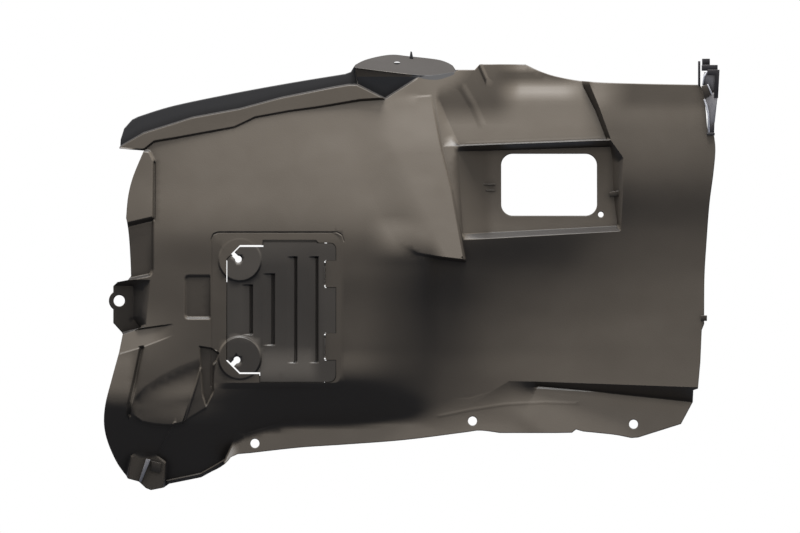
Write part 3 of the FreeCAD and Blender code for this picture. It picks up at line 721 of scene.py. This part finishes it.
# Small moulded forms that stand on the shell: outline, near depth and far depth of each slab
smallForms = {
    "bracket": [
        (rect(698.6, 60.9, 2, 25), 76, 98), (rect(702.5, 58.5, 7.6, 6.6), 74, 88),
        (rect(702.2, 64.8, 15.6, 5.6), 69, 96),
        ([(707.5, 69.6), (719.7, 69.6), (718.2, 98), (713.9, 98), (715.4, 75), (707.5, 75)], 68, 90),
        ([(703.6, 74.5), (709.4, 74.5), (708.4, 86), (703.4, 86)], 75, 77),
        (rect(706.8, 132.8, 8, 2.6), 66.5, 72),
        ([(709.6, 126.5), (714.6, 122.5), (714.2, 134.5), (709.6, 134.5)], 67, 71)],
    "bracketNose": [([(701.5, 85.8), (707.4, 84.6), (711.6, 94.2), (705, 99)], 66, 73)],
    "bracketWeb": [
        ([(704.4, 98.6), (711.2, 93), (718.4, 92.5), (717, 102.7), (714.8, 123),
          (711, 126.5), (709.5, 133), (707.6, 133), (707.8, 113)], 68.5, 73.5),
        ([(704.4, 72), (715.6, 72), (714.6, 95), (711.4, 95), (706.6, 85), (703.6, 85)], 71, 74)],
    "bracketEdge": [
        ([(703.6, 99.4), (705, 99), (707.3, 104.3), (709.2, 113.4),
          (710.2, 133), (708.6, 133), (707.5, 113.8), (705.3, 105)], 67, 70),
        ([(707, 70.4), (708.4, 71.6), (704.8, 77), (703.6, 85), (702.2, 85), (703.2, 76.4)], 68.6, 71),
        ([(707, 84.2), (708.2, 84.2), (712.6, 94.2), (711.4, 95)], 65.5, 68)],
    "topPin": [([(409.3, 58.5), (410.6, 50), (412, 50.6), (413.6, 58.5)], 151.5, 155.5)],
    "sideNub": [(rect(700.5, 315.3, 6.2, 5.6), 49, 54.5)],
    "pocketRibs": [(rect(480, 183.7, 15.5, 1.4), 105.5, 113), (rect(485.5, 189.7, 10, 1.4), 105.5, 111.5)],
    "pocketHook": [([(610, 192), (621, 190), (624, 194), (622, 199), (618, 196), (610, 197)], 90, 109)],
    "cornerBlade": [([(146.5, 458.5), (150.8, 459.5), (146, 471), (141.2, 482.5), (139.2, 481)], 50, 72)],
    "cornerBox": [([(151.5, 460.8), (161, 463), (160.5, 472.8), (151, 471)], 53, 76)],
    "shelfCollar": [(rect(392.5, 61.7, 9, 4), 141.5, 149)],
}
# thin edges behind the slits, measured from the pad's face
flangeNear, flangeFar = 2.5, 2.75
flanges = {
    "flapFlange": [
        ([(261.3, 239), (324.65, 239), (324.65, 244.8), (264.7, 244.8), (264.7, 245.3), (261.3, 245.3)],
         flangeNear, flangeFar),
        (rect(225.3, 282, 3.4, 78), flangeNear, flangeFar),
        ([(225.2, 258.6), (230.6, 253.2), (232.8, 255.4), (227.4, 260.8)], 1.2, 1.45),
        ([(258.3, 375.5), (261.7, 375.5), (261.7, 380.1), (324.65, 380.1), (324.65, 383.7), (258.3, 383.7)],
         flangeNear, flangeFar)],
    "frameFlange": [
        ([(327, 241.2), (337.7, 241.2), (337.7, 262.2), (326.4, 262.2), (326.4, 259.8), (334.3, 259.8),
          (334.3, 249.6), (329.4, 244.9), (327, 244.9)], flangeNear, flangeFar),
        ([(326.4, 286.2), (337.7, 286.2), (337.7, 334.3), (326.4, 334.3), (326.4, 331.8), (334.3, 331.8),
          (334.3, 288.8), (326.4, 288.8)], flangeNear, flangeFar),
        ([(326.4, 358.7), (337.7, 358.7), (337.7, 383.7), (325.02, 383.7), (325.02, 380.1), (328.4, 380.1),
          (334.3, 374.4), (334.3, 361.4), (326.4, 361.4)], flangeNear, flangeFar)],
}
slabBevel, flangeBevel = 0.35, 0.05


def onSheet(x, y):
    return 0 * x


def slabs(name, parts, bevel, base=onSheet):
    made = bmesh.new()
    for outline, near, far in parts:
        x, y = np.array(outline, float).T
        fronts = [made.verts.new(p) for p in toFrame(x, y, base(x, y) + near)]
        backs = [made.verts.new(p) for p in toFrame(x, y, base(x, y) + far)]
        made.faces.new(fronts)
        made.faces.new(backs[::-1])
        for i in range(len(outline)):
            j = (i + 1) % len(outline)
            made.faces.new((fronts[j], fronts[i], backs[i], backs[j]))
    bmesh.ops.recalc_face_normals(made, faces=made.faces)
    bmesh.ops.bevel(made, geom=made.edges[:], offset=bevel / 1000, segments=2, profile=0.6, affect="EDGES")
    mesh = bpy.data.meshes.new(name)
    made.to_mesh(mesh)
    made.free()
    for face in mesh.polygons:
        face.use_smooth = True
    piece = bpy.data.objects.new(name, mesh)
    bpy.context.scene.collection.objects.link(piece)
    return piece


small = {name: slabs(name, parts, slabBevel) for name, parts in smallForms.items()}
small.update({name: slabs(name, parts, flangeBevel, padBase) for name, parts in flanges.items()})
print("small forms made")


# Materials
class Wire:
    def __init__(self, tree, socket=None):
        self.tree, self.socket = tree, socket

    def node(self, kind, settings, sockets, output=0):
        made = self.tree.nodes.new(kind)
        for name, value in settings.items():
            if name == "stops":
                for place, tone in value[2:]:
                    made.color_ramp.elements.new(place)
                for stop, (place, tone) in zip(made.color_ramp.elements, value):
                    stop.position, stop.color = place, (*tone, 1)
            else:
                setattr(made, name, value)
        for name, value in sockets.items():
            if isinstance(value, Wire):
                self.tree.links.new(value.socket, made.inputs[name])
            else:
                made.inputs[name].default_value = value
        return Wire(self.tree, made.outputs[output] if made.outputs else None)

    def work(self, operation, other):
        return self.node("ShaderNodeMath", {"operation": operation}, {0: self, 1: other})

    def __add__(self, other):
        return self.work("ADD", other)

    def __mul__(self, other):
        return self.work("MULTIPLY", other)

    __radd__, __rmul__ = __add__, __mul__


plastics = {
    "linerPlastic": {"dark": (0.071, 0.059, 0.046), "light": (0.086, 0.073, 0.058),
                     "rough": 0.47, "grain": 0.10, "setBackShade": 0.78},
    # painted shade: a darker copy of the liner's plastic for the flap, which faces the light less
    "paintedShadeFlapPlastic": {"dark": (0.056, 0.049, 0.041), "light": (0.068, 0.060, 0.051),
                    "rough": 0.47, "grain": 0.10, "setBackShade": 1.0},
    # painted light: a pale grey copy of the plastic for the lit faces of the bracket web and the corner blade
    "paintedLightWebPlastic": {"dark": (0.27, 0.255, 0.25), "light": (0.40, 0.38, 0.375),
                   "rough": 0.4, "grain": 0.08, "setBackShade": 1.0},
    # painted shade: a darker copy of the liner's plastic for the bracket
    "paintedShadeHookPlastic": {"dark": (0.050, 0.046, 0.046), "light": (0.064, 0.059, 0.059),
                    "rough": 0.45, "grain": 0.10, "setBackShade": 1.0},
    # painted highlight: a near-white copy of the plastic for the lit bracket edges
    "paintedHighlightEdgePlastic": {"dark": (0.60, 0.59, 0.60), "light": (0.75, 0.74, 0.75),
                    "rough": 0.35, "grain": 0.05, "setBackShade": 1.0},
}
# what all the plastics share: noise scales, shares, and the tints of the dark tone that paint shade
finish = {
    "cloudScale": 9.0, "flowScale": 38.0, "waveScale": 22.0, "grainScale": 950.0,
    "cloudShare": 0.6, "flowShare": 0.4, "flowRough": 0.12, "grainRough": 0.06, "specular": 0.14,
    "grainDepth": 0.0006, "waveDepth": 0.0012, "waveStrength": 0.35,
    "flangeBehind": 0.0575, "flangeEnd": -0.018, "setBackShadeTint": (0.95, 0.93, 0.93), "flangeRough": 0.3,
    "steepFrom": 0.55, "steepTo": 0.85, "steepTopShadeTint": (0.245, 0.212, 0.186),
    "occlusionReach": 0.008, "occlusionPower": 1.1, "occlusionShadeColor": (0.012, 0.011, 0.01),
}


def mouldedPlastic(name, look):
    material = bpy.data.materials.new(name)
    material.use_nodes = True
    material.node_tree.nodes.clear()
    w = Wire(material.node_tree)

    def noise(scale, **more):
        return w.node("ShaderNodeTexNoise", {}, {"Vector": place, "Scale": finish[scale], **more})

    def axis(vector, letter):
        return w.node("ShaderNodeSeparateXYZ", {}, {"Vector": vector}, letter)

    def mix(share, first, second):
        # the colour sockets of a Mix node go by number
        return w.node("ShaderNodeMix", {"data_type": "RGBA"}, {"Factor": share, 6: first, 7: second}, 2)

    def tinted(tint, share=1.0):
        return (*(share * part * look["dark"][0] for part in tint), 1)

    place = w.node("ShaderNodeTexCoord", {}, {}, "Object")
    cloud = noise("cloudScale", Detail=4.0, Roughness=0.55)
    flow = noise("flowScale", Detail=3.0, Distortion=0.6)
    grain = noise("grainScale", Detail=2.0)
    waves = noise("waveScale", Detail=1.0)
    clouds = cloud * finish["cloudShare"] + flow * finish["flowShare"]
    tone = mix(clouds, (*look["dark"], 1), (*look["light"], 1))
    # painted shade: the set-back flanges get a darker, cooler tone
    shadedSetBack = axis(place, "Y").work("GREATER_THAN", finish["flangeBehind"])
    shadedSetBack = shadedSetBack * axis(place, "X").work("LESS_THAN", finish["flangeEnd"])
    tone = mix(shadedSetBack, tone, tinted(finish["setBackShadeTint"], look["setBackShade"]))
    # painted shade: steeply up-facing tops are darkened, and corners and slots are darkened by occlusion
    up = axis(w.node("ShaderNodeTexCoord", {}, {}, "Normal"), "Z")
    steep = w.node("ShaderNodeMapRange", {}, {
        "Value": up, "From Min": finish["steepFrom"], "From Max": finish["steepTo"]})
    tone = mix(steep, tone, tinted(finish["steepTopShadeTint"]))
    # painted shade from ambient occlusion in corners, creases and slots
    occlusionShade = w.node("ShaderNodeAmbientOcclusion", {"samples": 8}, {"Distance": finish["occlusionReach"]}, "AO")
    tone = mix(occlusionShade.work("POWER", finish["occlusionPower"]), (*finish["occlusionShadeColor"], 1), tone)
    fine = w.node("ShaderNodeBump", {}, {
        "Height": grain, "Strength": look["grain"], "Distance": finish["grainDepth"]})
    bump = w.node("ShaderNodeBump", {}, {
        "Height": waves, "Strength": finish["waveStrength"], "Distance": finish["waveDepth"], "Normal": fine})
    middle = look["rough"] - (finish["flowRough"] + finish["grainRough"]) / 2
    rough = shadedSetBack * finish["flangeRough"] + flow * finish["flowRough"]
    rough = rough + grain * finish["grainRough"] + middle
    shader = w.node("ShaderNodeBsdfPrincipled", {}, {
        "Base Color": tone, "Roughness": rough, "Normal": bump, "Specular IOR Level": finish["specular"]})
    w.node("ShaderNodeOutputMaterial", {}, {"Surface": shader})
    return material


materials = {name: mouldedPlastic(name, look) for name, look in plastics.items()}
liner.data.materials.append(materials["linerPlastic"])
flap.data.materials.append(materials["paintedShadeFlapPlastic"])
# small pieces in other tones of the same plastic: darker copies paint shade, pale copies paint light and
# highlights
special = {"flapFlange": "paintedShadeFlapPlastic", "bracket": "paintedShadeHookPlastic", "cornerBlade": "paintedLightWebPlastic",
           "bracketWeb": "paintedLightWebPlastic", "bracketEdge": "paintedHighlightEdgePlastic"}
for name, piece in small.items():
    piece.data.materials.append(materials[special.get(name, "linerPlastic")])
print("materials made")

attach(liner, "liner")
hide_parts("liner_shell")
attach(flap, "flap")
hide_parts("service_flap")
for name, piece in small.items():
    owner = "flap" if name == "flapFlange" else "liner"
    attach(piece, owner)

# Floor, light and camera
studio = {"floorHeight": -0.2, "floorReach": 2, "paper": (0.8, 0.8, 0.79, 1), "paperRough": 0.8,
          "lampPower": {"overhead": 100.0, "fill": 150.0}, "lampSize": 1.2, "lampPlace": (-0.07, 0.0, 2.4),
          "skyTop": 0.3, "skyLow": 0.19, "skyTint": (0.86, 0.96, 1.2),
          "cameraPlace": (-0.0725, -16.0, 0.1545), "lens": 720.0, "sensor": 36.0, "sight": 100.0}
reach = studio["floorReach"]
floorCorners = [(x, y, studio["floorHeight"])
                for x, y in ((-reach, -reach), (reach, -reach), (reach, reach), (-reach, reach))]
floorMesh = bpy.data.meshes.new("floor")
floorMesh.from_pydata(floorCorners, [], [(0, 1, 2, 3)])
floor = bpy.data.objects.new("floor", floorMesh)
bpy.context.scene.collection.objects.link(floor)
paper = bpy.data.materials.new("paper")
paper.use_nodes = True
paper.node_tree.nodes["Principled BSDF"].inputs["Base Color"].default_value = studio["paper"]
paper.node_tree.nodes["Principled BSDF"].inputs["Roughness"].default_value = studio["paperRough"]
floorMesh.materials.append(paper)
floor.visible_diffuse = floor.visible_glossy = False

# a key light overhead and a fill in the same place that casts no shadow
for name, power in studio["lampPower"].items():
    lamp = bpy.data.lights.new(name, "AREA")
    lamp.shape, lamp.size, lamp.energy = "SQUARE", studio["lampSize"], power
    lamp.use_shadow = name == "overhead"
    lampObject = bpy.data.objects.new(name, lamp)
    lampObject.location = studio["lampPlace"]
    bpy.context.scene.collection.objects.link(lampObject)

# the object sees a soft gradient, the camera sees white
world = bpy.data.worlds.new("studio")
bpy.context.scene.world = world
world.use_nodes = True
world.node_tree.nodes.clear()
w = Wire(world.node_tree)
direction = w.node("ShaderNodeTexCoord", {}, {}, "Generated")
height = w.node("ShaderNodeSeparateXYZ", {}, {"Vector": direction}, "Z")
lowTone, topTone = (tuple(studio[name] * part for part in studio["skyTint"]) for name in ("skyLow", "skyTop"))
glow = w.node("ShaderNodeValToRGB", {"stops": [(0.0, lowTone), (0.45, lowTone), (1.0, topTone)]},
              {"Fac": height * 0.5 + 0.5})
sky = w.node("ShaderNodeBackground", {}, {"Color": glow, "Strength": 1.0})
white = w.node("ShaderNodeBackground", {}, {"Color": (1, 1, 1, 1), "Strength": 1.0})
seen = w.node("ShaderNodeLightPath", {}, {}, "Is Camera Ray")
both = w.node("ShaderNodeMixShader", {}, {0: seen, 1: sky, 2: white})
w.node("ShaderNodeOutputWorld", {}, {"Surface": both})

camera = bpy.data.cameras.new("camera")
camera.lens, camera.sensor_width, camera.clip_end = studio["lens"], studio["sensor"], studio["sight"]
cameraObject = bpy.data.objects.new("camera", camera)
cameraObject.location = studio["cameraPlace"]
cameraObject.rotation_euler = (math.radians(90), 0, 0)
bpy.context.scene.collection.objects.link(cameraObject)
bpy.context.scene.camera = cameraObject
bpy.context.scene.view_settings.view_transform = "Standard"
print("studio made")
